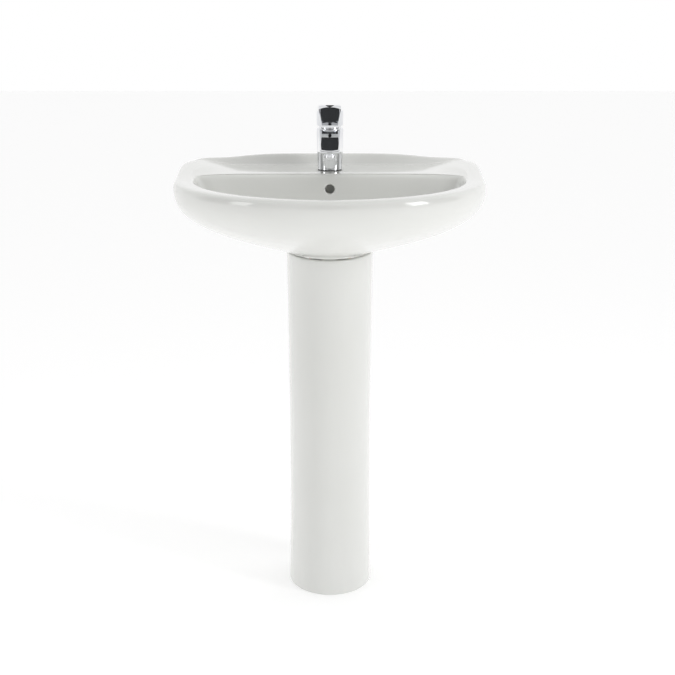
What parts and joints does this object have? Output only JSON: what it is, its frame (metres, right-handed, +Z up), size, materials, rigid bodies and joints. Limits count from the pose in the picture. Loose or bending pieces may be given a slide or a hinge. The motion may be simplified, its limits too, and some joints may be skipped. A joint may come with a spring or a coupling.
{
  "type": "pedestal sink",
  "caption": "White glazed pedestal sink with a crowned back, an oval bowl with an overflow hole, a chromed single-lever mixer, a click waste and a bottle trap.",
  "frame": {"origin": "on the floor, in the middle of the pedestal's foot", "axes": "+Z up, +Y to the wall behind the sink, +X to the right seen from the front; the front of the basin faces -Y"},
  "size_m": [0.6013, 0.535, 0.9574],
  "materials": {
    "glazed_china": "white glaze, glossy",
    "clear_rubber": "soft translucent",
    "zinc_steel": "zinc plated",
    "white_plastic": "white moulded",
    "grey_plastic": "grey moulded",
    "index_plastic": "dark glossy",
    "chrome": "polished",
    "brass": "machined",
    "copper": null,
    "black_rubber": "moulded"
  },
  "bodies": {
    "sink": {"basin": "glazed_china", "pedestal": "glazed_china", "pedestal_pads": "clear_rubber", "hanger_bolts": "zinc_steel", "fixing_sleeves": "white_plastic", "fixing_washers": "zinc_steel", "fixing_nuts": "zinc_steel", "faucet_body": "chrome", "base_seal": "black_rubber", "aerator_housing": "chrome", "aerator_insert": "grey_plastic", "cartridge_body": "grey_plastic", "cartridge_nut": "brass", "cartridge_dome": "chrome", "mounting_stud": "zinc_steel", "horseshoe_gasket": "black_rubber", "horseshoe_washer": "zinc_steel", "mounting_nut": "brass", "supply_tails": "copper", "tail_nuts": "brass", "waste_flange": "chrome", "waste_top_gasket": "black_rubber", "waste_low_gasket": "black_rubber", "waste_washer": "white_plastic", "waste_backnut": "brass", "click_guide": "white_plastic", "trap_inlet_nut": "white_plastic", "trap_inlet_seal": "black_rubber", "trap_dip_tube": "white_plastic", "trap_top_nut": "white_plastic", "trap_top_seal": "black_rubber", "trap_body": "white_plastic", "trap_cup": "white_plastic", "cup_seal": "black_rubber", "trap_outlet_nut": "white_plastic", "outlet_pipe": "white_plastic", "wall_rosette": "chrome"},
    "lever_swivel": {"cartridge_rotor": "white_plastic"},
    "lever": {"cartridge_stem": "brass", "stem_pin": "zinc_steel", "lever_handle": "chrome", "handle_screw": "zinc_steel", "index_plug": "index_plastic"},
    "plug": {"waste_plug": "chrome", "plug_seal": "black_rubber"}
  },
  "joints": [
    {"name": "lever_turn", "type": "hinge", "parent": "sink", "child": "lever_swivel", "pos_m": [0, 0.109, 0.903], "axis": [0, 0, 1], "range_deg": [-45, 45]},
    {"name": "lever_lift", "type": "hinge", "parent": "lever_swivel", "child": "lever", "pos_m": [0, 0.109, 0.903], "axis": [-1, 0, 0], "range_deg": [0, 20]},
    {"name": "plug_rise", "type": "slide", "parent": "sink", "child": "plug", "axis": [0, 0, 1], "range_m": [0, 0.008]}
  ]
}
